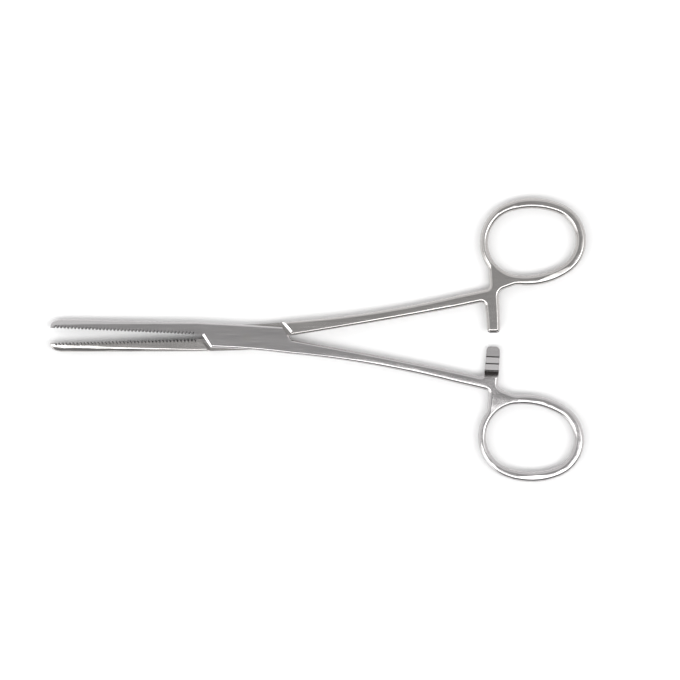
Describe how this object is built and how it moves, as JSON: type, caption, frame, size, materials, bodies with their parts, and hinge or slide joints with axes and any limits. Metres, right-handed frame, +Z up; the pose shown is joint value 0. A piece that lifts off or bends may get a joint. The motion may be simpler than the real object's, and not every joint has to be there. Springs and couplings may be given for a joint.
{
  "type": "hemostat forceps",
  "caption": "Straight ring-handled clamping forceps with cross-serrated jaws, a box-lock pivot and a ratchet between the shanks, in satin steel.",
  "frame": {"origin": "on the pivot axis, at the underside of the box lock, which is what the forceps lie on", "axes": "+X from the pivot to the finger rings, with the jaws towards -X; +Y towards the ring of the tongue half; +Z up out of the flat of the forceps"},
  "size_m": [0.1578, 0.0838, 0.0046],
  "materials": {
    "box_half_steel": "satin",
    "tongue_half_steel": "satin",
    "pin_steel": "satin"
  },
  "bodies": {
    "box_side": {"box_half": "box_half_steel", "pivot_pin": "pin_steel"},
    "tongue_side": {"tongue_half": "tongue_half_steel"}
  },
  "joints": [
    {"name": "box_lock", "type": "hinge", "parent": "box_side", "child": "tongue_side", "pos_m": [0, 0, 0.0023], "axis": [0, 0, 1], "range_deg": [-4.1, 56]}
  ]
}
